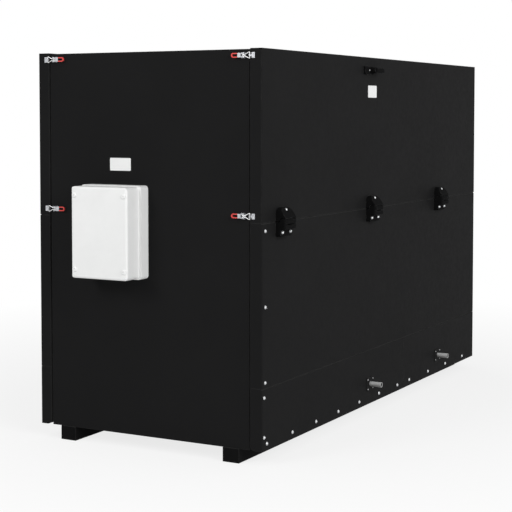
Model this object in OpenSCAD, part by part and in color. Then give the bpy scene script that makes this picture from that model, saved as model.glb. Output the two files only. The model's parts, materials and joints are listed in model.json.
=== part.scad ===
// Air handling unit: a black insulated cabinet on two skids, in millimetres.
// The front end, with the junction box and toggle latches, faces -Y. The service side,
// with the fold-down access door and the drains, faces +X. The length runs along Y.
// The origin is the middle of the whole unit's footprint, on the floor.

/* [Cabinet] */
// Width of the casing across the end
width = 1020; // [800:10:1400]
// Length of the casing
length = 2320; // [1800:10:3200]
// Height of the casing above the skids
height = 1500; // [1400:10:2000]
// Thickness of the insulated panels
panel_t = 50; // [45:1:65]
// Height of the seam between the upper and lower panels
mid_seam = 853; // [700:1:1000]
// Height of the seam between the lower panels and the skirts
low_seam = 235; // [180:1:320]
// Distance from the front end to the joint between the two skirts
skirt_joint = 1373; // [1000:1:1600]
// Width of the shadow gap at a seam between fixed panels
seam_w = 3; // [2:0.5:4]
// Depth of that shadow gap
seam_depth = 4; // [2:0.5:6]
// Radius of the casing's upright edges
edge_r = 4; // [2:0.5:6]
// Radius of the skirt's lower inner corner
skirt_corner_r = 20; // [8:1:30]
// Width of the groove round an end panel
reveal_w = 6; // [3:0.5:10]
// Depth of the groove round an end panel
reveal_depth = 14; // [8:1:25]
// Setback of an end panel behind the edges of the side panels
end_setback = 4; // [2:0.5:8]
// Drop of the roof and end panels below the top edges of the side panels
top_drop = 3; // [1:0.5:6]

/* [Skids] */
// Width of a skid
skid_w = 70; // [50:1:100]
// Height of a skid
skid_h = 55; // [40:1:90]
// Distance between the centre lines of the skids
skid_spacing = 752; // [600:1:800]

/* [Access door] */
// Width of the posts and rails of the door frame
frame_w = 50; // [40:1:65]
// Thickness of the door's overlapping skin
lip_t = 3; // [3:0.5:6]
// Radius of the skin's upright edges
lip_edge_r = 1.5; // [0.5:0.5:1.5]
// Room for the gasket between the skin and the frame
gasket_gap = 1; // [0.5:0.1:3]
// Gap round the door's insulated core, at the sides and below
core_gap = 6; // [5:0.5:12]
// Gap above the door's core, wider for its swing
core_head_gap = 12; // [11:0.5:20]
// Gap under the door's skin
door_foot_gap = 2; // [2:0.5:5]

/* [Hinges] */
// Width of a hinge
hinge_w = 90; // [70:1:110]
// Height of the upper leaf above the seam
leaf_up = 52; // [51:1:60]
// Depth of the lower leaf below the seam
leaf_down = 58; // [52:1:70]
// How far the hinge barrel stands out from the panel
hinge_reach = 45; // [41:1:54]
// Radius of the hinge barrel
barrel_r = 14; // [11:0.5:16]
// Length of the middle knuckle
knuckle_len = 40; // [30:1:50]
// Gap between knuckles
knuckle_gap = 1; // [0.5:0.1:2]
// Clearance round a barrel where the other leaf turns past it
barrel_clear = 2; // [1:0.1:3]
// Radius of the hinge pin
pin_r = 4; // [3:0.5:5]
// Running clearance round a pin
pin_clear = 0.08; // [0.02:0.01:0.1]
// Thickness of the upper leaf at its outer end
leaf_tip_t = 18; // [15:1:24]
// Height above the panel of the upper leaf's screw seat
pocket_floor = 20; // [16:1:22]
// Thickness of the lower leaf at its outer end, where its screws sit
leaf_flat_t = 22; // [18:1:28]
// Depth below the seam of the lower leaf's full thickness
leaf_full = 28; // [24:1:30]
// Height of the slope from there down to the thinner end
leaf_slope = 5; // [3:0.5:6]
// Radius of the lower leaf's corners
leaf_corner_r = 9; // [4:1:14]
// Radius of the upper leaf's corners
leaf_top_r = 26; // [14:1:34]
// Radius of the rounded ends of a hinge
hinge_end_r = 10; // [4:1:12]
// Distance of the upper leaf's screw from the seam
leaf_screw_rise = 43; // [38:1:43]
// Radius of the pocket round the upper leaf's screw
pocket_r = 6.5; // [5:0.5:7]
// Distance from the front end to each hinge
hinge_places = [152, 988, 1793];

/* [Door latch] */
// Distance from the front end to the latch's spindle
latch_place = 975; // [700:1:1300]
// Distance of the latch below the top edge
latch_drop = 56; // [55:1:120]
// Length of the latch's base plate
latch_base_l = 84; // [70:1:110]
// Height of the latch's base plate
latch_base_h = 35; // [28:1:45]
// Thickness of the latch's base plate
latch_base_t = 9; // [6:0.5:14]
// Length of the latch handle from its spindle
latch_arm_l = 78; // [60:1:110]
// Height of the latch handle
latch_arm_h = 20; // [14:1:26]
// Thickness of the latch handle
latch_arm_t = 16; // [10:1:18]
// How much wider than the handle its hub is, all round
latch_hub_margin = 3; // [1:0.5:5]
// How far the hub stops short of the handle's outer face
latch_hub_drop = 4; // [2:0.5:8]
// Gap between the latch handle and its base plate
latch_gap = 0.3; // [0.2:0.1:0.5]
// How far the latch handle stands out from the door
latch_reach = 36; // [28:1:40]

/* [Toggle latches] */
// Height of the lower row of toggle latches above the middle seam
toggle_rise = 25; // [20:1:60]
// Drop of the upper row of toggle latches below the top edge
toggle_drop = 26; // [20:1:60]
// Distance of a keeper plate from the side panel's inner face
keeper_margin = 7; // [5:0.5:9]
// Width of a keeper plate
keeper_w = 13; // [10:0.5:17]
// Height of a keeper plate
keeper_h = 21; // [18:1:26]
// Height of the keeper's hook
hook_h = 10; // [8:0.5:12]
// Gap between the hook and the bail's cross bar
hook_gap = 0.9; // [0.8:0.1:1.2]
// Lean of the keeper's hook
hook_lean = 20; // [10:1:25]
// Width of the keeper's hook
hook_w = 8; // [6:0.5:8.5]
// Thickness of the latch plates
plate_t = 1.5; // [1:0.1:2]
// Length of a base plate
base_l = 20; // [19:1:30]
// Distance of a base plate from the groove
base_margin = 14; // [13:0.5:15]
// Distance from the groove to the lever's pivot
pivot_inset = 19; // [18.5:0.5:21]
// Height of the lever's pivot above the keeper's face
pivot_h = 5; // [4.5:0.1:7]
// Distance from the lever's pivot to the bail's pivot
bail_throw = 7; // [6:0.5:8]
// Distance from the groove's far side to the bail's cross bar
bar_inset = 7; // [6:0.1:8]
// Radius of the bail wire
wire_r = 1.4; // [1:0.05:1.4]
// Width of the bail at its cross bar
bail_w = 28; // [24:1:32]
// Radius of the bends in the bail wire
bend_r = 2; // [1.6:0.1:2.2]
// Distance from the lever's pivot to where the bail spreads
bail_neck = 6; // [5:0.5:9]
// Gap at the ends of the bail wire
wire_end_gap = 0.3; // [0.2:0.1:0.5]
// Length of a lever from its pivot to the end of its grip
lever_l = 52; // [51:1:58]
// Width of a lever
lever_w = 16; // [15:0.1:19.2]
// Width of a lever's rail
rail_w = 2.6; // [2.4:0.1:3.2]
// Thickness of a lever
lever_t = 5; // [4.4:0.1:6]
// How far a lever runs past its pivot
lever_nose = 3; // [2.8:0.1:3.6]
// Length of the web between a lever's rails
web_l = 13; // [8:0.5:14]
// Distance of that web from the grip
web_gap = 1; // [0.5:0.5:2]
// Radius of the ears that carry a lever
ear_r = 4; // [3:0.5:4.5]
// Gap between a lever and its ears
ear_gap = 0.6; // [0.4:0.1:1]
// Gap between the ends of the pivot stubs and the inner faces of the rails
stub_gap = 0.4; // [0.3:0.1:0.8]
// Length of the coloured grip
grip_l = 26; // [22:1:27]
// Wall of the grip round the lever's rails
grip_wall = 0.7; // [0.6:0.1:1]

/* [Junction box] */
// Width of the junction box's lid
box_w = 259; // [200:1:320]
// Height of the junction box's lid
box_h = 356; // [280:1:420]
// Depth of the junction box
box_depth = 131; // [100:1:160]
// Depth of its lid
lid_depth = 82; // [50:1:90]
// Radius of its corners, seen from the front
box_edge_r = 14; // [8:1:24]
// Radius of the lid's front edges
lid_front_r = 8; // [3:0.5:10]
// How far the base stands out past the lid's sides
box_step = 11; // [2:0.5:14]
// How far it stands out past the lid's top and bottom
box_step_up = 3; // [2:0.5:14]
// Distance of the box from the middle of the end, towards the left
box_offset = 132.5; // [0:0.5:250]
// Height of the middle of the box
box_height = 800; // [500:1:1100]
// Radius of the lid's screw recesses
recess_r = 4.5; // [3:0.5:4.5]
// Depth of the lid's screw recesses
recess_depth = 5; // [3:0.5:10]
// Distance of the recesses from the lid's sides
recess_inset = 15; // [15:0.5:22]
// Distance of the recesses from the lid's top and bottom
recess_rise = 34; // [15:0.5:60]

/* [Drains] */
// Outer diameter of a drain spigot
drain_d = 22; // [18:1:40]
// Wall of a drain spigot
drain_wall = 2; // [1:0.5:4]
// How far a spigot stands out from the skirt
drain_reach = 56; // [56:1:100]
// Width of a spigot's flange
drain_plate_w = 68; // [60:1:90]
// Height of a spigot's flange
drain_plate_h = 57; // [50:1:80]
// Thickness of a spigot's flange
drain_plate_t = 3; // [2:0.5:5]
// Radius of that flange's corners
drain_corner_r = 6; // [3:0.5:10]
// Height of the spigots
drain_height = 84; // [70:1:140]
// Distance from the front end to each spigot
drain_places = [992, 1805];

/* [Duct collars] */
// Width of a duct opening
duct_w = 700; // [500:10:780]
// Height of a duct opening
duct_h = 400; // [300:10:440]
// Thickness of a collar's sheet
collar_t = 4; // [3:0.5:6]
// How far a collar stands out from the rear end panel
collar_reach = 64; // [40:1:90]
// Width of a collar's flange
flange_w = 30; // [25:1:40]
// Radius of the flange's corner bolt holes
flange_hole_r = 4.75; // [4:0.25:6]

/* [Hidden] */
$fn = 48;

black_paint = "#262628";
black_plastic = "#161617";
zinc = "#c9ccd0";
red_plastic = "#b3262a";
white_plastic = "#e6e6e3";
steel = "#8f9396";

// Edges of the casing, placed so that the whole unit's footprint is centred on the origin
left_x = -(width + drain_reach) / 2;
right_x = left_x + width;
mid_x = left_x + width / 2;
front_y = box_depth - end_setback - (box_depth - end_setback + length + collar_reach - end_setback) / 2;
rear_y = front_y + length;
bottom_z = skid_h;
low_z = bottom_z + low_seam;
mid_z = bottom_z + mid_seam;
top_z = bottom_z + height;

// Faces of the end panels and of the roof
front_face_y = front_y + end_setback;
rear_face_y = rear_y - end_setback;
roof_z = top_z - top_drop;

// Outer face of the door frame, behind the door's skin and its gasket
frame_x = right_x - lip_t - gasket_gap;

// Distance of the door's hinge line from the panel
hinge_out = hinge_reach - barrel_r;

// Toggle latches, measured from the casing's upright edge: the keeper is on the side panel's
// edge with its hook over the groove, and the base and its pivot are on the end panel past it
groove_edge = panel_t + reveal_w;
keeper_edge = panel_t - keeper_margin;
bar_edge = groove_edge - bar_inset;
pivot_edge = groove_edge + pivot_inset;
toggle_heights = [mid_seam + toggle_rise, height - toggle_drop];

// Space between the levers' rails
fork_w = lever_w - 2 * rail_w;

// Each duct opening is in the middle of its tier
duct_heights = [(low_seam + mid_seam) / 2, (mid_seam + height) / 2];

// Waterway of a drain spigot
bore_d = drain_d - 2 * drain_wall;

// Lap of each straight run of wire into a bend, and swell of the bend round it
wire_lap = 0.05;
wire_swell = 0.02;

// A plain block between two corners
module block(low, high)
  translate(low)
    cube(high - low);

// A rectangle with rounded corners, centred on the origin
module rounded_rect(w, h, r) {
  square([w - 2 * r, h], center = true);
  square([w, h - 2 * r], center = true);
  for (sx = [-1, 1], sy = [-1, 1])
    translate([sx * (w / 2 - r), sy * (h / 2 - r)])
      circle(r);
}

// Turn of a wire's path at one of its points
function turn_at(points, i) =
  let (a = points[i] - points[i - 1], b = points[i + 1] - points[i])
  atan2(a.x * b.y - a.y * b.x, a * b);

// Length that a bend takes from each of the straight runs that meet in it
function bend_reach(points, i) =
  i == 0 || i == len(points) - 1 ? 0 : bend_r * tan(abs(turn_at(points, i)) / 2);

// A round wire bent in one plane along a row of points
module bent_wire(points, r) {
  last = len(points) - 1;
  for (i = [0:last - 1]) {
    run = points[i + 1] - points[i];
    way = run / norm(run);
    start = points[i] + way * (bend_reach(points, i) - wire_lap);
    span = norm(run) - bend_reach(points, i) - bend_reach(points, i + 1) + 2 * wire_lap;
    translate(start)
      rotate([0, 90, atan2(way.y, way.x)])
        cylinder(h = span, r = r);
  }
  for (i = [1:last - 1]) {
    run = points[i] - points[i - 1];
    turn = turn_at(points, i);
    way = run / norm(run);
    start = points[i] - way * bend_reach(points, i);
    centre = start + sign(turn) * bend_r * [-way.y, way.x];
    translate(centre)
      rotate(atan2(start.y - centre.y, start.x - centre.x) + min(turn, 0))
        rotate_extrude(angle = abs(turn))
          translate([bend_r, 0])
            circle(r + wire_swell);
  }
}

// Pieces on the left are mirrored about the middle of the casing
module on_side(side)
  translate([mid_x, 0, 0])
    mirror([side == "left" ? 1 : 0, 0, 0])
      translate([-mid_x, 0, 0])
        children();

module skid(side)
  color(black_paint)
    on_side(side)
      translate([mid_x + skid_spacing / 2 - skid_w / 2, front_y, 0])
        cube([skid_w, length, skid_h]);

module floor_panel()
  color(black_paint)
    block([left_x + panel_t, front_face_y + panel_t, bottom_z],
          [right_x - panel_t, rear_face_y - panel_t, bottom_z + panel_t]);

// Plan of a right-hand side panel over the whole length, with its outer corners rounded
module panel_plan(t, r) {
  translate([right_x - t, front_y])
    square([t - r, length]);
  translate([right_x - t, front_y + r])
    square([t, length - 2 * r]);
  for (y = [front_y + r, rear_y - r])
    translate([right_x - r, y])
      circle(r);
}

// Outline of a skirt seen from the front, with its lower inner corner rounded
module skirt_outline() {
  body_h = low_seam - seam_w;
  difference() {
    square([panel_t, body_h]);
    square(skirt_corner_r);
  }
  translate([skirt_corner_r, skirt_corner_r])
    circle(skirt_corner_r);
  translate([0, body_h])
    square([panel_t - seam_depth, seam_w]);
}

// A skirt: the right-hand ones are bored for the drains
module skirt(side, from_y, to_y)
  color(black_paint)
    on_side(side)
      difference() {
        intersection() {
          translate([right_x - panel_t, to_y, bottom_z])
            rotate([90, 0, 0])
              linear_extrude(to_y - from_y)
                skirt_outline();
          linear_extrude(top_z)
            panel_plan(2 * panel_t, edge_r);
        }
        if (side == "right")
          for (y = drain_places)
            translate([right_x - 2 * panel_t, front_y + y, bottom_z + drain_height])
              rotate([0, 90, 0])
                cylinder(d = bore_d, h = 4 * panel_t);
      }

module front_skirt(side)
  skirt(side, front_y, front_y + skirt_joint - seam_w / 2);

module rear_skirt(side)
  skirt(side, front_y + skirt_joint + seam_w / 2, rear_y);

// A panel whose top edge is stepped back to leave a shadow gap under the panel above
module lower_panel(side, end_step)
  color(black_paint)
    on_side(side) {
      translate([0, 0, low_z])
        linear_extrude(mid_z - seam_w - low_z)
          panel_plan(panel_t, edge_r);
      block([right_x - panel_t, front_y + end_step, mid_z - seam_w],
            [right_x - seam_depth, rear_y - end_step, mid_z]);
    }

module left_upper_panel()
  color(black_paint)
    on_side("left")
      translate([0, 0, mid_z])
        linear_extrude(top_z - mid_z)
          panel_plan(panel_t, edge_r);

module post(from_y)
  color(black_paint)
    block([right_x - panel_t, from_y, mid_z], [frame_x, from_y + frame_w, top_z]);

module door_rail(from_z)
  color(black_paint)
    block([right_x - panel_t, front_y + frame_w, from_z], [frame_x, rear_y - frame_w, from_z + frame_w]);

// An end panel: a full-width back with a raised face inside a groove
module end_panel_solid() {
  block([left_x + panel_t, front_face_y + reveal_depth, bottom_z],
        [right_x - panel_t, front_face_y + panel_t, roof_z]);
  block([left_x + panel_t + reveal_w, front_face_y, bottom_z],
        [right_x - panel_t - reveal_w, front_face_y + reveal_depth, roof_z]);
}

module front_end_panel()
  color(black_paint)
    end_panel_solid();

module rear_end_panel()
  color(black_paint)
    difference() {
      translate([0, front_y + rear_y, 0])
        mirror([0, 1, 0])
          end_panel_solid();
      for (h = duct_heights)
        translate([mid_x - duct_w / 2, rear_face_y - 2 * panel_t, bottom_z + h - duct_h / 2])
          cube([duct_w, 3 * panel_t, duct_h]);
    }

module roof_panel()
  color(black_paint)
    block([left_x + panel_t, front_face_y + panel_t, roof_z - panel_t],
          [right_x - panel_t, rear_face_y - panel_t, roof_z]);

// The door: an overlapping skin with an insulated core that fits inside the frame
module access_door()
  color(black_paint) {
    translate([0, 0, mid_z + door_foot_gap])
      linear_extrude(top_z - mid_z - door_foot_gap)
        panel_plan(lip_t, lip_edge_r);
    block([right_x - panel_t, front_y + frame_w + core_gap, mid_z + frame_w + core_gap],
          [right_x - lip_t, rear_y - frame_w - core_gap, top_z - frame_w - core_head_gap]);
  }

// Side outlines of the hinge leaves: thick at the barrel and thinner at the outer end.
// The first axis runs out from the panel and the second away from the seam.
module upper_leaf_outline()
  polygon([
    [0, door_foot_gap],
    [hinge_out, door_foot_gap],
    [hinge_reach - door_foot_gap, barrel_r],
    [leaf_tip_t, leaf_up],
    [0, leaf_up],
  ]);

module lower_leaf_outline()
  polygon([
    [0, door_foot_gap],
    [hinge_out, door_foot_gap],
    [hinge_reach - door_foot_gap, barrel_r],
    [hinge_reach - door_foot_gap, leaf_full],
    [leaf_flat_t, leaf_full + leaf_slope],
    [leaf_flat_t, leaf_down],
    [0, leaf_down],
  ]);

// Trims a hinge piece to the rounded ends that both leaves share
module within_ends()
  intersection() {
    children();
    linear_extrude(2 * (leaf_up + leaf_down), center = true)
      rounded_rect(2 * hinge_reach, hinge_w, hinge_end_r);
  }

// Extrudes a side outline along the hinge line, over a length centred on the hinge
module along_hinge(span)
  rotate([90, 0, 0])
    linear_extrude(span, center = true)
      children();

module barrel(r, span)
  translate([hinge_out, 0, 0])
    rotate([90, 0, 0])
      cylinder(r = r, h = span, center = true);

// Extrudes a front outline out from the panel, over the whole depth of a hinge
module out_of_panel()
  rotate([90, 0, 90])
    linear_extrude(hinge_reach)
      children();

// Front outline of a leaf, drawn upwards from the seam, with its outer corners rounded
module leaf_front(leaf_l, r)
  intersection() {
    translate([0, leaf_l - hinge_w / 2])
      rounded_rect(hinge_w, hinge_w, r);
    translate([-hinge_w / 2, 0])
      square([hinge_w, leaf_l]);
  }

// The pocket that the upper leaf's screw sits in
module screw_pocket()
  translate([pocket_floor, 0, leaf_screw_rise])
    rotate([0, 90, 0])
      cylinder(r = pocket_r, h = hinge_reach);

// The upper leaf: it carries the middle knuckle and turns with the door
module upper_leaf_solid() {
  difference() {
    union() {
      within_ends()
        intersection() {
          along_hinge(hinge_w)
            upper_leaf_outline();
          out_of_panel()
            leaf_front(leaf_up, leaf_top_r);
        }
      barrel(barrel_r, knuckle_len);
    }
    for (s = [-1, 1])
      translate([0, s * (hinge_w / 2 + knuckle_len / 2), 0])
        barrel(barrel_r + barrel_clear, hinge_w);
    barrel(pin_r + pin_clear, 2 * hinge_w);
    screw_pocket();
  }
}

// The lower leaf: it carries the two end knuckles and the pin
module lower_leaf_solid() {
  end_len = (hinge_w - knuckle_len) / 2 - knuckle_gap;
  difference() {
    within_ends()
      mirror([0, 0, 1])
        intersection() {
          along_hinge(hinge_w)
            lower_leaf_outline();
          out_of_panel()
            leaf_front(leaf_down, leaf_corner_r);
        }
    barrel(barrel_r + barrel_clear, knuckle_len + 2 * knuckle_gap);
  }
  within_ends()
    for (s = [-1, 1])
      translate([0, s * (hinge_w - end_len) / 2, 0])
        barrel(barrel_r, end_len);
  barrel(pin_r, hinge_w - end_len);
}

module at_hinges()
  color(black_plastic)
    for (y = hinge_places)
      translate([right_x, front_y + y, mid_z])
        children();

module hinge_lower_leaves()
  at_hinges()
    lower_leaf_solid();

module hinge_upper_leaves()
  at_hinges()
    upper_leaf_solid();

module door_latch_base()
  color(black_plastic)
    translate([right_x, front_y + latch_place - latch_base_l / 4, top_z - latch_drop])
      rotate([90, 0, 90])
        linear_extrude(latch_base_t)
          rounded_rect(latch_base_l, latch_base_h, latch_base_h / 4);

// The handle: a hub on the spindle and an arm held off the door
module door_latch_handle() {
  hub_r = latch_arm_h / 2 + latch_hub_margin;
  hub_z = latch_base_t + latch_gap;
  color(black_plastic)
    translate([right_x, front_y + latch_place, top_z - latch_drop])
      rotate([90, 0, 90]) {
        translate([0, 0, hub_z])
          cylinder(r = hub_r, h = latch_reach - latch_hub_drop - hub_z);
        translate([0, 0, latch_reach - latch_arm_t])
          linear_extrude(latch_arm_t) {
            translate([0, -latch_arm_h / 2])
              square([latch_arm_l - latch_arm_h / 2, latch_arm_h]);
            translate([latch_arm_l - latch_arm_h / 2, 0])
              circle(latch_arm_h / 2);
          }
      }
}

// Places a toggle latch piece: its first axis runs towards the cabinet's edge, which is
// its zero, its second axis is up and its third is out from the edge's face
module at_toggle(side, row)
  on_side(side)
    translate([right_x, front_y, bottom_z + toggle_heights[row]])
      rotate([90, 0, 0])
        children();

// The keeper: a plate on the side panel's edge, with a tongue and hook for the bail's cross bar
module keeper_solid() {
  hook_root = -bar_edge - wire_r - hook_gap - (pivot_h - plate_t) * tan(hook_lean);
  hook_t = plate_t / cos(hook_lean);
  translate([-keeper_edge, -keeper_h / 2, 0])
    cube([keeper_w, keeper_h, plate_t]);
  translate([hook_root - hook_t, -hook_w / 2, 0])
    cube([keeper_w / 2 - keeper_edge - hook_root + hook_t, hook_w, plate_t]);
  rotate([90, 0, 0])
    linear_extrude(hook_w, center = true)
      polygon([
        [hook_root - hook_t, 0],
        [hook_root, 0],
        [hook_root, plate_t],
        [hook_root + (hook_h - plate_t) * tan(hook_lean), hook_h],
        [hook_root - hook_t + (hook_h - plate_t) * tan(hook_lean), hook_h],
        [hook_root - hook_t, plate_t],
      ]);
}

// The base: a plate on the end panel with two ears, each with a stub that the lever turns on
module toggle_base_solid() {
  ear_in = lever_w / 2 + ear_gap;
  plate_z = -end_setback;
  stub_l = ear_in + plate_t - fork_w / 2 - stub_gap;
  translate([-groove_edge - base_margin - base_l, -ear_in - plate_t, plate_z])
    cube([base_l, 2 * (ear_in + plate_t), plate_t]);
  for (s = [-1, 1])
    both_sides(s) {
      translate([-pivot_edge, ear_in + plate_t, 0])
        rotate([90, 0, 0])
          linear_extrude(plate_t) {
            translate([-ear_r, plate_z])
              square([2 * ear_r, pivot_h - plate_z]);
            translate([0, pivot_h])
              circle(ear_r);
          }
      translate([-pivot_edge, ear_in + plate_t, pivot_h])
        rotate([90, 0, 0])
          cylinder(r = rail_w / 2, h = stub_l);
    }
}

// Mirrors a piece across the latch's middle for the second side
module both_sides(s)
  mirror([0, s < 0 ? 1 : 0, 0])
    children();

// A lever: two rails drilled for the pivots, joined by a web between the bail and the grip
module lever_solid() {
  rail_end = -pivot_edge - lever_l + lever_w / 2;
  difference() {
    union() {
      for (s = [-1, 1])
        both_sides(s)
          translate([rail_end, fork_w / 2, pivot_h - lever_t / 2])
            cube([-pivot_edge + lever_nose - rail_end, rail_w, lever_t]);
      translate([-pivot_edge - lever_l + grip_l + web_gap, -fork_w / 2, pivot_h - lever_t / 2])
        cube([web_l, fork_w, lever_t]);
    }
    translate([-pivot_edge, 0, pivot_h])
      rotate([90, 0, 0])
        cylinder(r = rail_w / 2 + pin_clear, h = 2 * lever_w, center = true);
    translate([-pivot_edge - bail_throw, 0, pivot_h])
      rotate([90, 0, 0])
        cylinder(r = wire_r + pin_clear, h = 2 * lever_w, center = true);
  }
}

// The grip: a rounded sleeve over the ends of the rails
module grip_solid() {
  outer_w = lever_w + 2 * grip_wall;
  outer_t = lever_t + 2 * grip_wall;
  bend_x = -pivot_edge - lever_l + outer_w / 2;
  difference() {
    translate([0, 0, pivot_h - outer_t / 2])
      linear_extrude(outer_t)
        difference() {
          union() {
            translate([bend_x, 0])
              circle(outer_w / 2);
            translate([bend_x, -outer_w / 2])
              square([grip_l - outer_w / 2, outer_w]);
          }
          translate([bend_x, 0])
            circle(fork_w / 2 - grip_wall);
          translate([bend_x, -fork_w / 2 + grip_wall])
            square([outer_w + grip_l, fork_w - 2 * grip_wall]);
        }
    lever_solid();
  }
}

// The bail: a wire whose ends turn out into the lever's rails. It spreads past the pivot to
// the cross bar behind the hook.
module bail_solid() {
  root_x = -pivot_edge - bail_throw;
  neck_x = -pivot_edge + bail_neck;
  neck_y = fork_w / 2 - bend_r - wire_end_gap;
  pin_y = fork_w / 2 + rail_w - wire_end_gap;
  end_y = bail_w / 2 - wire_r;
  half = [[root_x, pin_y], [root_x, neck_y], [neck_x, neck_y], [-bar_edge, end_y]];
  path = concat(half, [for (i = [len(half) - 1:-1:0]) [half[i].x, -half[i].y]]);
  translate([0, 0, pivot_h])
    bent_wire(path, wire_r);
}

module toggle_keepers()
  color(zinc)
    for (side = ["left", "right"], row = [0, 1])
      at_toggle(side, row)
        keeper_solid();

module toggle_bases()
  color(zinc)
    for (side = ["left", "right"], row = [0, 1])
      at_toggle(side, row)
        toggle_base_solid();

module toggle_lever(side, row)
  color(zinc)
    at_toggle(side, row)
      lever_solid();

module toggle_grip(side, row)
  color(red_plastic)
    at_toggle(side, row)
      grip_solid();

module toggle_bail(side, row)
  color(zinc)
    at_toggle(side, row)
      bail_solid();

// Places a piece of the junction box on the front end panel, drawn from its front view
module at_box()
  translate([mid_x - box_offset, front_face_y, bottom_z + box_height])
    rotate([90, 0, 0])
      children();

module junction_box_base()
  color(white_plastic)
    at_box()
      linear_extrude(box_depth - lid_depth)
        rounded_rect(box_w + 2 * box_step, box_h + 2 * box_step_up, box_edge_r);

// Outline of the lid across its depth, with its front edges rounded
module lid_section(w) {
  square_w = w - 2 * lid_front_r;
  translate([-w / 2, box_depth - lid_depth])
    square([w, lid_depth - lid_front_r]);
  translate([-square_w / 2, box_depth - lid_depth])
    square([square_w, lid_depth]);
  for (s = [-1, 1])
    translate([s * square_w / 2, box_depth - lid_front_r])
      circle(lid_front_r);
}

module junction_box_lid()
  color(white_plastic)
    at_box()
      difference() {
        intersection() {
          linear_extrude(2 * box_depth)
            rounded_rect(box_w, box_h, box_edge_r);
          rotate([90, 0, 0])
            linear_extrude(2 * box_h, center = true)
              lid_section(box_w);
          rotate([90, 0, 90])
            linear_extrude(2 * box_w, center = true)
              lid_section(box_h);
        }
        for (sx = [-1, 1], sy = [-1, 1])
          translate([sx * (box_w / 2 - recess_inset), sy * (box_h / 2 - recess_rise), 0])
            translate([0, 0, box_depth - recess_depth])
              cylinder(r = recess_r, h = 2 * recess_depth);
      }

module at_drain(i)
  translate([right_x, front_y + drain_places[i], bottom_z + drain_height])
    rotate([90, 0, 90])
      children();

module drain_flange(i)
  color(black_paint)
    at_drain(i)
      linear_extrude(drain_plate_t)
        difference() {
          rounded_rect(drain_plate_w, drain_plate_h, drain_corner_r);
          circle(d = bore_d);
        }

module drain_spigot(i)
  color(steel)
    at_drain(i)
      translate([0, 0, drain_plate_t])
        linear_extrude(drain_reach - drain_plate_t)
          difference() {
            circle(d = drain_d);
            circle(d = bore_d);
          }

// A duct collar: four sheet walls round the opening and a flange with corner holes
module duct_collar(i)
  color(zinc)
    translate([mid_x, rear_face_y, bottom_z + duct_heights[i]])
      rotate([90, 0, 180])
        difference() {
          union() {
            linear_extrude(collar_reach)
              square([duct_w + 2 * collar_t, duct_h + 2 * collar_t], center = true);
            translate([0, 0, collar_reach - collar_t])
              linear_extrude(collar_t)
                square([duct_w + 2 * flange_w, duct_h + 2 * flange_w], center = true);
          }
          translate([0, 0, -1])
            linear_extrude(collar_reach + 2)
              square([duct_w, duct_h], center = true);
          for (sx = [-1, 1], sy = [-1, 1])
            translate([sx * (duct_w + flange_w + collar_t) / 2, sy * (duct_h + flange_w + collar_t) / 2, 0])
              cylinder(r = flange_hole_r, h = 2 * collar_reach);
        }

skid("left");  // left_skid
skid("right");  // right_skid
floor_panel();
front_skirt("left");  // left_front_skirt
rear_skirt("left");  // left_rear_skirt
front_skirt("right");  // right_front_skirt
rear_skirt("right");  // right_rear_skirt
lower_panel("left", seam_depth);  // left_lower_panel
lower_panel("right", 0);  // right_lower_panel
left_upper_panel();
post(front_y);  // right_front_post
post(rear_y - frame_w);  // right_rear_post
door_rail(mid_z);  // door_sill_rail
door_rail(top_z - frame_w);  // door_head_rail
front_end_panel();
rear_end_panel();
roof_panel();
access_door();
hinge_lower_leaves();
hinge_upper_leaves();
door_latch_base();
door_latch_handle();
toggle_keepers();
toggle_bases();
toggle_lever("left", 1);  // upper_left_toggle_lever
toggle_lever("right", 1);  // upper_right_toggle_lever
toggle_lever("left", 0);  // lower_left_toggle_lever
toggle_lever("right", 0);  // lower_right_toggle_lever
toggle_grip("left", 1);  // upper_left_toggle_grip
toggle_grip("right", 1);  // upper_right_toggle_grip
toggle_grip("left", 0);  // lower_left_toggle_grip
toggle_grip("right", 0);  // lower_right_toggle_grip
toggle_bail("left", 1);  // upper_left_toggle_bail
toggle_bail("right", 1);  // upper_right_toggle_bail
toggle_bail("left", 0);  // lower_left_toggle_bail
toggle_bail("right", 0);  // lower_right_toggle_bail
junction_box_base();
junction_box_lid();
drain_flange(0);  // front_drain_flange
drain_flange(1);  // rear_drain_flange
drain_spigot(0);  // front_drain_spigot
drain_spigot(1);  // rear_drain_spigot
duct_collar(0);  // lower_duct_collar
duct_collar(1);  // upper_duct_collar
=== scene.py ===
"""Looks of the air handling unit: its materials, small fasteners and plates, and a plain studio."""
import json
import math

import bmesh
import bpy
from mathutils import Matrix, Vector


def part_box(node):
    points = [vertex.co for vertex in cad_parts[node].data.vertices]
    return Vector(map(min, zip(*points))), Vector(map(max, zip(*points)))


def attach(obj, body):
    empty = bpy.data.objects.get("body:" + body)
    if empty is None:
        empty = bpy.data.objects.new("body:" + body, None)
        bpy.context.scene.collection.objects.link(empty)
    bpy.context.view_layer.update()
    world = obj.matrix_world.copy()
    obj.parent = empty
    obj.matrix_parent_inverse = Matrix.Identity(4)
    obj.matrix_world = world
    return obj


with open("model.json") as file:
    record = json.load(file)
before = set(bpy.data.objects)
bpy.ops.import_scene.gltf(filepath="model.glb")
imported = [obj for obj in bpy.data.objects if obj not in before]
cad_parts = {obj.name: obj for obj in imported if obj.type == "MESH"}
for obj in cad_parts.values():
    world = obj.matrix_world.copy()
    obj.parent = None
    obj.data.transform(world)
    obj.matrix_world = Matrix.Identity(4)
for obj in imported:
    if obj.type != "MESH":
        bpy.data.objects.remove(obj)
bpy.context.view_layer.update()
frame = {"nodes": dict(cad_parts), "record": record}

X = Vector((1, 0, 0))
Y = Vector((0, 1, 0))
Z = Vector((0, 0, 1))


# Materials

# The span in which most values of a noise lie
NOISE_LOW, NOISE_HIGH = 0.3, 0.7
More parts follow.
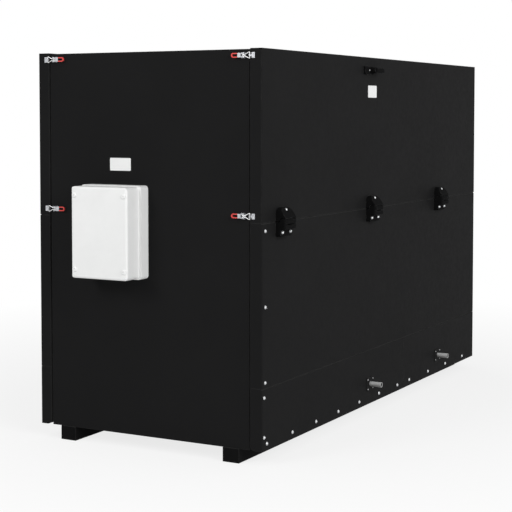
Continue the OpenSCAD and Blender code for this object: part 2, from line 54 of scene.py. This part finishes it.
# Sockets of a Mix node in its colour mode
MIX_FAC, MIX_A, MIX_B, MIX_RESULT = 0, 6, 7, 2


def add(tree, kind, inputs=None, **settings):
    """Adds a node, sets its properties and fills its inputs with values or other nodes' outputs."""
    node = tree.nodes.new(kind)
    for key, value in settings.items():
        setattr(node, key, value)
    for key, value in (inputs or {}).items():
        if isinstance(value, bpy.types.NodeSocket):
            tree.links.new(value, node.inputs[key])
        else:
            node.inputs[key].default_value = value
    return node


def begin(name, values):
    """A material with one Principled shader that has these constant values on its own sockets."""
    mat = bpy.data.materials.new(name)
    mat.use_nodes = True
    tree = mat.node_tree
    tree.nodes.clear()
    shader = add(tree, "ShaderNodeBsdfPrincipled", values)
    add(tree, "ShaderNodeOutputMaterial", {"Surface": shader.outputs["BSDF"]})
    place = add(tree, "ShaderNodeTexCoord").outputs["Object"]
    return mat, tree, shader, place


def dress(tree, shader, tone, roughness, normal=None):
    """Links a shader's colour, roughness and normal to the outputs that drive them."""
    for socket, output in (("Base Color", tone), ("Roughness", roughness), ("Normal", normal)):
        if output is not None:
            tree.links.new(output, shader.inputs[socket])


def combine(tree, operation, a, b):
    """The result of a Math node on two values or outputs."""
    return add(tree, "ShaderNodeMath", {0: a, 1: b}, operation=operation).outputs[0]


def noise(tree, place, scale, detail=3.0, stretch=None):
    """Noise over the part's own coordinates, in metres, stretched along an axis if asked."""
    if stretch:
        mapping = {"Vector": place, "Scale": stretch}
        place = add(tree, "ShaderNodeMapping", mapping).outputs["Vector"]
    values = {"Vector": place, "Scale": scale, "Detail": detail, "Roughness": 0.6}
    return add(tree, "ShaderNodeTexNoise", values).outputs["Fac"]


def ramp(tree, fac, *stops):
    """A colour ramp through (position, colour) stops."""
    node = add(tree, "ShaderNodeValToRGB", {"Fac": fac})
    band = node.color_ramp.elements
    while len(band) < len(stops):
        band.new(0.5)
    for element, (position, colour) in zip(band, stops):
        element.position = position
        element.color = (*colour, 1)
    return node.outputs["Color"]


def clouded(tree, fac, dark, pale):
    """A colour that drifts between two over a noise."""
    return ramp(tree, fac, (NOISE_LOW, dark), (NOISE_HIGH, pale))


def spread(tree, fac, low, high, start=NOISE_LOW, end=NOISE_HIGH):
    """Maps a span, a noise's usual one if none is given, to a range of values."""
    values = {"Value": fac, "From Min": start, "From Max": end, "To Min": low, "To Max": high}
    return add(tree, "ShaderNodeMapRange", values).outputs["Result"]


def bump(tree, height, strength, distance, edge):
    """A bump normal over edges softened by a radius."""
    soft = add(tree, "ShaderNodeBevel", {"Radius": edge}, samples=4).outputs["Normal"]
    inputs = {"Height": height, "Strength": strength, "Distance": distance, "Normal": soft}
    return add(tree, "ShaderNodeBump", inputs).outputs["Normal"]


def mixed(tree, fac, a, b):
    """Mixes two colours, each a value or an output."""
    inputs = {MIX_FAC: fac, MIX_A: a, MIX_B: b}
    return add(tree, "ShaderNodeMix", inputs, data_type="RGBA").outputs[MIX_RESULT]


def facing_up(tree, start=0.6, end=0.95):
    """1 on faces that look up at rest and 0 on upright ones, over a span of the normal's height."""
    normal = add(tree, "ShaderNodeTexCoord").outputs["Normal"]
    up = add(tree, "ShaderNodeSeparateXYZ", {"Vector": normal}).outputs["Z"]
    return spread(tree, up, 0.0, 1.0, start, end)


def sharp_edge_mask(tree, radius, start, end):
    """1 along sharp edges and 0 on flat faces, by how far a bevelled normal leans away."""
    bevelled = add(tree, "ShaderNodeBevel", {"Radius": radius}, samples=6).outputs["Normal"]
    true = add(tree, "ShaderNodeNewGeometry").outputs["Normal"]
    inputs = {0: bevelled, 1: true}
    along = add(tree, "ShaderNodeVectorMath", inputs, operation="DOT_PRODUCT").outputs["Value"]
    return spread(tree, along, 1.0, 0.0, start, end)


def sheltered(tree, distance, samples, start, end):
    """1 deep in grooves, mouths and corners and 0 in the open, by how much lies close around."""
    inputs = {"Distance": distance}
    room = add(tree, "ShaderNodeAmbientOcclusion", inputs, samples=samples).outputs["AO"]
    return spread(tree, room, 1.0, 0.0, start, end)


def powder_coat(name, low, high):
    """Satin black powder coat: fine orange peel, a painted highlight on patches of the edges, dust
    on top, and painted light deep in the grooves.
    """
    blue = 1.02
    worn_edge_highlight_tone = (0.045, 0.045, 0.045, 1)
    dust_tone = (0.05, 0.049, 0.047, 1)
    painted_groove_light_tone = (0.062, 0.0615, 0.0605, 1)
    mat, tree, shader, place = begin(name, {"Specular IOR Level": 0.0085})
    cloud = noise(tree, place, scale=2.6, detail=4)
    tone = clouded(tree, cloud, (low, low, low * blue), (high, high, high * blue))
    patchy = spread(tree, noise(tree, place, scale=24), low=0.25, high=0.9)
    # Patches of the sharp edges are painted paler: a painted highlight along the edges, patchy like
    # wear.
    highlit_worn_edges = sharp_edge_mask(tree, radius=0.004, start=0.75, end=0.97)
    tone = mixed(tree, combine(tree, "MULTIPLY", highlit_worn_edges, patchy), tone, worn_edge_highlight_tone)
    film = spread(tree, noise(tree, place, scale=34, detail=5), low=0.05, high=0.5)
    tone = mixed(tree, combine(tree, "MULTIPLY", facing_up(tree), film), tone, dust_tone)
    # Grooves and corners are painted paler by how closely they are hemmed in: painted light put
    # over their shade.
    painted_groove_light = sheltered(tree, distance=0.014, samples=4, start=0.1, end=0.48)
    tone = mixed(tree, painted_groove_light, tone, painted_groove_light_tone)
    roughness = spread(tree, noise(tree, place, scale=55), low=0.42, high=0.54)
    peel = noise(tree, place, scale=750, detail=2)
    normal = bump(tree, peel, strength=0.2, distance=0.00006, edge=0.0018)
    dress(tree, shader, tone, roughness, normal)
    return mat


def black_paint():
    """The casing's coat."""
    return powder_coat("black_paint", low=0.0112, high=0.0126)


def skid_paint():
    """The skids' coat, a darker one."""
    return powder_coat("skid_paint", low=0.0062, high=0.0074)


def black_plastic():
    """Moulded black polyamide with a fine spark-eroded grain, with painted glints on patches of its
    edges.
    """
    worn_edge_highlight_tone = (0.16, 0.16, 0.16, 1)
    mat, tree, shader, place = begin("black_plastic", {"Specular IOR Level": 0.002})
    cloud = noise(tree, place, scale=60)
    tone = clouded(tree, cloud, (0.006, 0.006, 0.0062), (0.0078, 0.0078, 0.008))
    patches = noise(tree, place, scale=70, detail=2)
    patchy = spread(tree, patches, low=0.0, high=0.5, start=0.45, end=0.62)
    # Patches of the sharp edges are painted pale: painted glints along the edges, patchy like wear.
    highlit_worn_edges = sharp_edge_mask(tree, radius=0.0022, start=0.8, end=0.97)
    tone = mixed(tree, combine(tree, "MULTIPLY", highlit_worn_edges, patchy), tone, worn_edge_highlight_tone)
    roughness = spread(tree, noise(tree, place, scale=420, detail=2), low=0.38, high=0.52)
    grain = noise(tree, place, scale=1900, detail=2)
    normal = bump(tree, grain, strength=0.3, distance=0.0001, edge=0.0022)
    dress(tree, shader, tone, roughness, normal)
    return mat


def zinc():
    """Bright zinc plate with a slight blue cast, drawn lines and dull spots."""
    mat, tree, shader, place = begin("zinc", {"Metallic": 1.0})
    spots = noise(tree, place, scale=90, detail=4)
    tone = clouded(tree, spots, (0.4, 0.41, 0.43), (0.6, 0.61, 0.63))
    lines = noise(tree, place, scale=260, stretch=(1, 1, 9))
    roughness = spread(tree, lines, low=0.2, high=0.4)
    normal = bump(tree, lines, strength=0.15, distance=0.00005, edge=0.0004)
    dress(tree, shader, tone, roughness, normal)
    return mat


def screw_zinc():
    """Bright zinc on small fasteners, paler than the latches' and lightly mottled."""
    mat, tree, shader, place = begin("screw_zinc", {"Metallic": 1.0})
    tone = clouded(tree, noise(tree, place, scale=160), (0.56, 0.57, 0.58), (0.7, 0.705, 0.71))
    mottle = noise(tree, place, scale=420)
    roughness = spread(tree, mottle, low=0.26, high=0.42)
    normal = bump(tree, mottle, strength=0.15, distance=0.00005, edge=0.0003)
    dress(tree, shader, tone, roughness, normal)
    return mat


def wire_zinc():
    """Pale zinc on bent wire, worn bright."""
    mat, tree, shader, place = begin("wire_zinc", {"Metallic": 0.8, "Specular IOR Level": 0.6})
    tone = clouded(tree, noise(tree, place, scale=140), (0.78, 0.785, 0.79), (0.88, 0.88, 0.88))
    roughness = spread(tree, noise(tree, place, scale=420), low=0.28, high=0.42)
    dress(tree, shader, tone, roughness)
    return mat


def red_plastic():
    """Dipped red vinyl, slightly uneven and soft-edged."""
    mat, tree, shader, place = begin("red_plastic", {"Specular IOR Level": 0.4})
    tone = clouded(tree, noise(tree, place, scale=120), (0.6, 0.05, 0.045), (0.76, 0.075, 0.065))
    roughness = spread(tree, noise(tree, place, scale=300, detail=2), low=0.3, high=0.45)
    runs = noise(tree, place, scale=380, detail=2)
    normal = bump(tree, runs, strength=0.25, distance=0.0002, edge=0.0012)
    dress(tree, shader, tone, roughness, normal)
    return mat


def white_plastic():
    """Moulded off-white plastic with a fine matt grain."""
    mat, tree, shader, place = begin("white_plastic", {"Specular IOR Level": 0.35})
    cloud = noise(tree, place, scale=7, detail=4)
    tone = clouded(tree, cloud, (0.785, 0.79, 0.785), (0.83, 0.835, 0.83))
    roughness = spread(tree, noise(tree, place, scale=160, detail=2), low=0.4, high=0.52)
    grain = noise(tree, place, scale=1500, detail=2)
    normal = bump(tree, grain, strength=0.25, distance=0.0001, edge=0.0015)
    dress(tree, shader, tone, roughness, normal)
    return mat


def drain_steel():
    """Drawn steel tube with lines round it, its underside painted dark as shade, and painted shade
    in mouth and corners.
    """
    painted_underside_shade_tone = (0.2, 0.198, 0.195, 1)
    painted_hollow_shade_tone = (0.02, 0.019, 0.018, 1)
    mat, tree, shader, place = begin("drain_steel", {"Metallic": 0.3, "Specular IOR Level": 0.5})
    stains = noise(tree, place, scale=45, detail=5)
    stained_tone = clouded(tree, stains, (0.6, 0.6, 0.6), (0.76, 0.76, 0.76))
    # Faces that look down are painted darker: painted shade on the underside.
    tone = mixed(tree, facing_up(tree, start=-0.5, end=0.4), painted_underside_shade_tone, stained_tone)
    # The mouth and corners are painted near black by how closely they are hemmed in: painted shade.
    painted_hollow_shade = sheltered(tree, distance=0.03, samples=8, start=0.2, end=0.62)
    tone = mixed(tree, painted_hollow_shade, tone, painted_hollow_shade_tone)
    lines = noise(tree, place, scale=120, stretch=(14, 1, 1))
    roughness = spread(tree, lines, low=0.36, high=0.5)
    normal = bump(tree, lines, strength=0.2, distance=0.00008, edge=0.0006)
    dress(tree, shader, tone, roughness, normal)
    return mat


def galvanised_sheet():
    """Galvanised sheet: spangled zinc crystals that differ in tone and gloss."""
    dull_tone = (0.36, 0.37, 0.375, 1)
    mat, tree, shader, place = begin("galvanised_sheet", {"Metallic": 1.0})
    values = {"Vector": place, "Scale": 70.0, "Randomness": 1.0}
    spangle = add(tree, "ShaderNodeTexVoronoi", values).outputs["Color"]
    crystal = add(tree, "ShaderNodeSeparateColor", {"Color": spangle}).outputs[0]
    bright = ramp(tree, crystal, (0.0, (0.4, 0.415, 0.43)), (1.0, (0.58, 0.595, 0.61)))
    dulling = spread(tree, noise(tree, place, scale=9, detail=4), low=0.0, high=0.4)
    tone = mixed(tree, dulling, bright, dull_tone)
    roughness = spread(tree, crystal, low=0.3, high=0.5, start=0, end=1)
    normal = bump(tree, crystal, strength=0.1, distance=0.0001, edge=0.0006)
    dress(tree, shader, tone, roughness, normal)
    return mat


MAKERS = (black_paint, skid_paint, black_plastic, zinc, screw_zinc, wire_zinc,
          red_plastic, white_plastic, drain_steel, galvanised_sheet)
MATERIALS = {make.__name__: make() for make in MAKERS}
# Nodes whose last word is here get a finer form of their slot's material
FINISHES = {"bail": "wire_zinc", "skid": "skid_paint"}
for part in frame["record"]["subparts"]:
    mesh = frame["nodes"][part["node"]].data
    mesh.materials.clear()
    kind = part["node"].split("_")[-1]
    mesh.materials.append(MATERIALS[FINISHES.get(kind, part["material_slot"])])


# Fasteners

# Millimetres in a metre
MM = 1000
# Angle from one fastener of a piece to the next, in radians
HEAD_TURN = 2.4


def hexagon(angle):
    """Share of the corner radius at which a regular hexagon lies in a direction."""
    return math.cos(math.pi / 6) / math.cos(angle % (math.pi / 3) - math.pi / 6)


def join_rings(bm, rings):
    """Faces between each ring of points and the next, all round."""
    for a, b in rings:
        for k in range(len(a)):
            n = (k + 1) % len(a)
            bm.faces.new((a[k], a[n], b[n], b[k]))


def close_ends(bm, rings):
    """Faces over the first ring and the last."""
    bm.faces.new(list(reversed(rings[0])))
    bm.faces.new(rings[-1])


def lathe(bm, profile, at, segments=24):
    """Turns a profile of (radius, height, shape) into a closed skin; hex rings make a socket."""
    turn = [2 * math.pi * k / segments for k in range(segments)]
    rings = []
    for radius, height, shape in profile:
        ring = [(radius * (hexagon(a) if shape == "hex" else 1), a) for a in turn]
        points = [Vector((r * math.cos(a), r * math.sin(a), height)) for r, a in ring]
        rings.append([bm.verts.new(at @ point) for point in points])
    join_rings(bm, zip(rings, rings[1:]))
    close_ends(bm, rings)


def finish_piece(bm, name, body, slot, smooth=40, finish=None):
    """Makes a piece of the mesh that rides on a body, in its slot's material or a finer form."""
    bmesh.ops.recalc_face_normals(bm, faces=bm.faces)
    mesh = bpy.data.meshes.new(name)
    bm.to_mesh(mesh)
    bm.free()
    piece = bpy.data.objects.new(name, mesh)
    bpy.context.scene.collection.objects.link(piece)
    mesh.materials.append(MATERIALS[finish or slot])
    mesh.shade_smooth()
    mesh.set_sharp_from_angle(angle=math.radians(smooth))
    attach(piece, body)


def standing(point, normal, turn=0.0):
    """A matrix that stands a piece drawn along +Z on a point of a face, turned about its normal."""
    spin = Matrix.Rotation(turn, 4, "Z")
    return Matrix.Translation(point) @ normal.to_track_quat("Z", "Y").to_matrix().to_4x4() @ spin


def head(size, skin, socket=(), floor=()):
    """A head's profile from (radius, height) in mm: its skin, hexagonal socket and socket floor."""
    rings = [(*ring, "round") for ring in skin]
    rings += [(*ring, "hex") for ring in socket]
    rings += [(*ring, "round") for ring in floor]
    return [(r * size / MM, h * size / MM, shape) for r, h, shape in rings]


def washer_screw(size):
    """Profile of a round-headed screw on its washer, with a hexagonal socket."""
    skin = [(6.0, 0.0), (6.1, 0.5), (5.7, 1.1), (4.6, 1.35),
            (4.5, 2.1), (4.1, 3.0), (3.2, 3.7), (2.4, 4.0)]
    return head(size, skin, socket=[(2.2, 3.9), (2.0, 2.4)], floor=[(0.2, 2.1)])


def cap_screw(size):
    """Profile of a tall domed head on a washer, with a small hexagonal socket."""
    skin = [(6.6, 0.0), (6.7, 0.5), (6.4, 1.1), (5.8, 1.3), (5.8, 2.2),
            (5.6, 3.3), (5.1, 4.4), (4.3, 5.3), (3.2, 6.0), (2.0, 6.35)]
    return head(size, skin, socket=[(1.8, 6.25), (1.6, 4.6)], floor=[(0.3, 4.4)])


def lid_cap(size):
    """Profile of a lid's captive screw, whose wide head laps over the lid's rounded edge."""
    skin = [(9.8, -2.6), (10.0, 0.4), (9.9, 2.2), (9.2, 3.4), (7.8, 4.1), (4.6, 4.5), (3.6, 4.5)]
    return head(size, skin, socket=[(3.4, 4.3), (3.1, 2.6)], floor=[(0.3, 2.3)])


def rivet(size):
    """Profile of a domed rivet head."""
    return head(size, [(3.0, 0.0), (3.0, 0.5), (2.7, 1.0), (2.0, 1.4), (1.0, 1.6), (0.1, 1.65)])


def fasteners(name, body, slot, profile, seats, finish=None):
    """One piece with a fastener at each seat, (point, normal), each turned its own way."""
    bm = bmesh.new()
    for k, (point, normal) in enumerate(seats):
        lathe(bm, profile, standing(point, normal, HEAD_TURN * k))
    finish_piece(bm, name, body, slot, finish=finish)


side_low, side_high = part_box("right_lower_panel")
left_low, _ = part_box("left_lower_panel")
skirt_low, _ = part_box("right_front_skirt")
end_low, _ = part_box("front_end_panel")
base = skirt_low.z
front = side_low.y
right, left = side_high.x, left_low.x
middle = (right + left) / 2


def on_side(face, along, up):
    """A point of a long side's face, by its distance from the front end and its height."""
    return Vector((face, front + along, base + up))


# Screws of the panels: (distance from the front end, height) on a long side, and insets elsewhere
PANEL_SCREW = washer_screw(1.15)
COLUMN = [(0.025, 0.823), (0.025, 0.539), (0.024, 0.256), (0.016, 0.2005), (0.016, 0.051)]
ROW_HEIGHT = 0.0245
ROW_PLACES = (0.038, 0.249, 0.458, 0.668, 0.88, 1.092, 1.301, 1.445, 1.682, 1.915, 2.155)
ROW = [(y, ROW_HEIGHT) for y in ROW_PLACES]
UPPER_COLUMN = [(0.025, z) for z in (0.885, 1.175, 1.465)]
END_INSET, END_HEIGHTS = 0.03, (0.06, 0.31, 0.82, 1.05, 1.45)
ROOF_INSET, ROOF_STEPS = 0.022, 7

seats = [(on_side(right, y, z), X) for y, z in COLUMN + ROW]
fasteners("right_panel_screws", "cabinet", "zinc", PANEL_SCREW, seats, "screw_zinc")
seats = [(on_side(left, y, z), -X) for y, z in COLUMN + ROW + UPPER_COLUMN]
fasteners("left_panel_screws", "cabinet", "zinc", PANEL_SCREW, seats, "screw_zinc")

low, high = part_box("rear_end_panel")
columns = (low.x + END_INSET, high.x - END_INSET)
seats = [(Vector((x, high.y, base + z)), Y) for x in columns for z in END_HEIGHTS]
fasteners("rear_panel_screws", "cabinet", "zinc", PANEL_SCREW, seats, "screw_zinc")

low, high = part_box("roof_panel")
rows = [low.y + (k + 0.5) * (high.y - low.y) / ROOF_STEPS for k in range(ROOF_STEPS)]
columns = (low.x + ROOF_INSET, high.x - ROOF_INSET)
seats = [(Vector((x, y, high.z)), Z) for x in columns for y in rows]
fasteners("roof_screws", "cabinet", "zinc", PANEL_SCREW, seats, "screw_zinc")

# Screws of the hinges: the hinges' distances from the front end, and places about the seam
HINGES = (0.152, 0.988, 1.793)
SEAM, SPREAD = 0.853, 0.033
LOWER_DROP, LOWER_SEAT, LOWER_SIZE = 0.0403, 0.022, 1.0
UPPER_RISE, UPPER_SEAT, UPPER_SIZE = 0.043, 0.02, 0.95
places = [y + s * SPREAD for y in HINGES for s in (-1, 1)]
seats = [(on_side(right + LOWER_SEAT, y, SEAM - LOWER_DROP), X) for y in places]
fasteners("hinge_lower_screws", "cabinet", "zinc", cap_screw(LOWER_SIZE), seats, "screw_zinc")
seats = [(on_side(right + UPPER_SEAT, y, SEAM + UPPER_RISE), X) for y in HINGES]
fasteners("hinge_upper_screws", "door", "zinc", cap_screw(UPPER_SIZE), seats, "screw_zinc")

# Screws of the drain flanges: half their spacing across and up
DRAIN_ACROSS, DRAIN_UP, DRAIN_SIZE = 0.026, 0.0205, 0.5
for name in ("front", "rear"):
    low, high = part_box(f"{name}_drain_flange")
    centre = (low + high) / 2
    corners = [(sy * DRAIN_ACROSS, sz * DRAIN_UP) for sy in (-1, 1) for sz in (-1, 1)]
    seats = [(Vector((high.x, centre.y + dy, centre.z + dz)), X) for dy, dz in corners]
    fasteners(f"{name}_drain_screws", "cabinet", "drain_steel", washer_screw(DRAIN_SIZE), seats)

# Screw of the door latch's base: its distance from the base's near end
LATCH_ALONG, LATCH_SIZE = 0.0435, 0.55
low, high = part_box("door_latch_base")
seats = [(Vector((high.x, low.y + LATCH_ALONG, (low.z + high.z) / 2)), X)]
fasteners("latch_base_screw", "door", "drain_steel", washer_screw(LATCH_SIZE), seats)

# Screws of the junction box's lid: their distances from the lid's sides and from its top and foot
LID_INSET, LID_RISE, LID_SIZE = 0.015, 0.034, 1.0
low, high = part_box("junction_box_lid")
columns = (low.x + LID_INSET, high.x - LID_INSET)
rows = (low.z + LID_RISE, high.z - LID_RISE)
seats = [(Vector((x, low.y, z)), -Y) for x in columns for z in rows]
fasteners("lid_screws", "cabinet", "white_plastic", lid_cap(LID_SIZE), seats)

# Heads on the toggle latches: the latches' heights, and each pair's distance from the casing's
# edge, half its spacing and its height over the strip's face
TOGGLE_ROWS = (0.878, 1.474)
KEEPER_ALONG, KEEPER_UP, KEEPER_OUT, KEEPER_SIZE = 0.0365, 0.0062, 0.0015, 0.42
RIVET_ALONG, RIVET_UP, RIVET_OUT, RIVET_SIZE = 0.0865, 0.006, -0.0025, 0.75


def toggle_seats(along, up, out):
    """Seats of a pair of heads, one above the other, on each of the four toggle latches."""
    columns = (right - along, left + along)
    rows = [z + u for z in TOGGLE_ROWS for u in (up, -up)]
    return [(Vector((x, front - out, base + z)), -Y) for x in columns for z in rows]


seats = toggle_seats(KEEPER_ALONG, KEEPER_UP, KEEPER_OUT)
fasteners("keeper_screws", "cabinet", "zinc", washer_screw(KEEPER_SIZE), seats)
seats = toggle_seats(RIVET_ALONG, RIVET_UP, RIVET_OUT)
fasteners("toggle_base_rivets", "cabinet", "zinc", rivet(RIVET_SIZE), seats)


# Plates and seal

# Place and size of each plate
END_PLATE_LEFT, END_PLATE_UP, END_PLATE = 0.12, 1.061, (0.097, 0.05)
DOOR_PLATE_ALONG, DOOR_PLATE_UP, DOOR_PLATE = 1.005, 1.354, (0.09, 0.052)
# A plate's thickness, corner radius, least radius inside its rim, and steps round a corner
PLATE_T, PLATE_R, PLATE_LEAST_R, PLATE_STEPS = 0.0012, 0.004, 0.0006, 6
# Rings over a plate's edge, as (inset, share of thickness): rim, raised border, sunk face
PLATE_RINGS = ((0, 0), (0, 0.6), (0.0004, 1), (0.0022, 1), (0.0026, 0.72))


def plate(name, body, centre, normal, size):
    """A bare plate with round corners, a softened rim and a shallow raised border."""
    bm = bmesh.new()
    at = standing(centre, normal)
    rings = []
    for inset, share in PLATE_RINGS:
        r = max(PLATE_R - inset, PLATE_LEAST_R)
        w, h = (side / 2 - inset - r for side in size)
        ring = []
        for k, (sx, sy) in enumerate(((1, 1), (-1, 1), (-1, -1), (1, -1))):
            for step in range(PLATE_STEPS + 1):
                a = math.pi / 2 * (k + step / PLATE_STEPS)
                x, y = sx * w + r * math.cos(a), sy * h + r * math.sin(a)
                ring.append(bm.verts.new(at @ Vector((x, y, PLATE_T * share))))
        rings.append(ring)
    join_rings(bm, zip(rings, rings[1:]))
    close_ends(bm, rings)
    finish_piece(bm, name, body, "white_plastic", smooth=30)


end_place = Vector((middle - END_PLATE_LEFT, end_low.y, base + END_PLATE_UP))
plate("end_plate", "cabinet", end_place, -Y, END_PLATE)
plate("door_plate", "door", on_side(right, DOOR_PLATE_ALONG, DOOR_PLATE_UP), X, DOOR_PLATE)

# Width and thickness of the doorway's seal, and its section as shares of them
SEAL_W, SEAL_T = 0.016, 0.0009
SEAL_SECTION = ((-0.5, 0.0), (-0.5, 0.5), (-0.38, 0.92), (-0.2, 1.0),
                (0.2, 1.0), (0.38, 0.92), (0.5, 0.5), (0.5, 0.0))


def gasket(name, body, low, high, face):
    """A flat, soft-edged rubber seal round a rectangle of (y, z), on a face that looks along +X."""
    bm = bmesh.new()
    rings = []
    for out, up in SEAL_SECTION:
        grow = out * SEAL_W
        y0, z0, y1, z1 = low[0] - grow, low[1] - grow, high[0] + grow, high[1] + grow
        corners = ((y0, z0), (y1, z0), (y1, z1), (y0, z1))
        rings.append([bm.verts.new((face + up * SEAL_T, y, z)) for y, z in corners])
    join_rings(bm, zip(rings, rings[1:] + rings[:1]))
    finish_piece(bm, name, body, "black_plastic")


front_post_low, front_post_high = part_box("right_front_post")
_, rear_post_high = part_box("right_rear_post")
frame_half = (front_post_high.y - front_post_low.y) / 2
seal_low = (front_post_low.y + frame_half, front_post_low.z + frame_half)
seal_high = (rear_post_high.y - frame_half, rear_post_high.z - frame_half)
gasket("door_gasket", "cabinet", seal_low, seal_high, front_post_high.x)


# Studio

FLOOR_RADIUS, FLOOR_SEGMENTS = 14, 96
# Distances from the unit over which the floor runs into white, and its share of white at each end
FLOOR_NEAR, FLOOR_FAR, SHARE_NEAR, SHARE_FAR = 1.2, 3.6, 0.8, 1.0
# Strength of the world as light, and as a background that is seen
WORLD_LIGHT, WORLD_SEEN = 0.5, 1.0
WHITE = (1, 1, 1, 1)


def seen(tree):
    """1 for rays that look at a surface from the camera, in a mirror or through glass."""
    path = add(tree, "ShaderNodeLightPath").outputs
    first = combine(tree, "MAXIMUM", path["Is Camera Ray"], path["Is Glossy Ray"])
    return combine(tree, "MAXIMUM", first, path["Is Transmission Ray"])


def floor_material():
    """Pale floor that keeps a light shadow near the unit and runs into white further out."""
    mat = bpy.data.materials.new("floor")
    mat.use_nodes = True
    tree = mat.node_tree
    tree.nodes.clear()
    place = add(tree, "ShaderNodeTexCoord").outputs["Object"]
    away = add(tree, "ShaderNodeVectorMath", {0: place}, operation="LENGTH").outputs["Value"]
    tone = clouded(tree, noise(tree, place, scale=40), (0.8, 0.8, 0.8), (0.83, 0.83, 0.83))
    pale = add(tree, "ShaderNodeBsdfDiffuse", {"Color": tone}).outputs["BSDF"]
    white = add(tree, "ShaderNodeEmission", {"Strength": 1.0}).outputs["Emission"]
    whitening = spread(tree, away, SHARE_NEAR, SHARE_FAR, FLOOR_NEAR, FLOOR_FAR)
    share = combine(tree, "MULTIPLY", whitening, seen(tree))
    both = add(tree, "ShaderNodeMixShader", {0: share, 1: pale, 2: white}).outputs["Shader"]
    add(tree, "ShaderNodeOutputMaterial", {"Surface": both})
    return mat


bm = bmesh.new()
bmesh.ops.create_circle(bm, cap_ends=True, segments=FLOOR_SEGMENTS, radius=FLOOR_RADIUS)
floor_mesh = bpy.data.meshes.new("floor")
bm.to_mesh(floor_mesh)
bm.free()
floor = bpy.data.objects.new("floor", floor_mesh)
bpy.context.scene.collection.objects.link(floor)
floor_mesh.materials.append(floor_material())

world = bpy.data.worlds.new("studio")
bpy.context.scene.world = world
world.use_nodes = True
tree = world.node_tree
tree.nodes.clear()
soft, bright = (
    add(tree, "ShaderNodeBackground", {"Color": WHITE, "Strength": level}).outputs["Background"]
    for level in (WORLD_LIGHT, WORLD_SEEN)
)
both = add(tree, "ShaderNodeMixShader", {0: seen(tree), 1: soft, 2: bright}).outputs["Shader"]
add(tree, "ShaderNodeOutputWorld", {"Surface": both})


def lamp(name, place, aim, size, power):
    """A large soft lamp that looks at a point."""
    light = bpy.data.lights.new(name, "AREA")
    light.shape = "DISK"
    light.size = size
    light.energy = power
    lamp_object = bpy.data.objects.new(name, light)
    lamp_object.location = place
    lamp_object.rotation_euler = (Vector(aim) - Vector(place)).to_track_quat("-Z", "Y").to_euler()
    bpy.context.scene.collection.objects.link(lamp_object)


lamp("key", place=(-2.6, -7.4, 4.6), aim=(0, -0.6, 0.8), size=3.5, power=205)
lamp("fill", place=(6.0, -3.0, 3.4), aim=(0.2, 0, 0.8), size=4.0, power=245)

# Camera at the photograph's angle: its place, and its tilt down and turn in degrees
EYE = (2.8522, -5.5386, 1.309)
TILT, TURN = 2.922, 28.502
camera = bpy.data.cameras.new("camera")
camera.sensor_width = 36
camera.lens = 95.72
camera.shift_y = -0.14
camera.clip_end = 60
eye = bpy.data.objects.new("camera", camera)
eye.location = EYE
eye.rotation_euler = (math.radians(90 - TILT), 0, math.radians(TURN))
bpy.context.scene.collection.objects.link(eye)
bpy.context.scene.camera = eye
bpy.context.scene.view_settings.view_transform = "Standard"
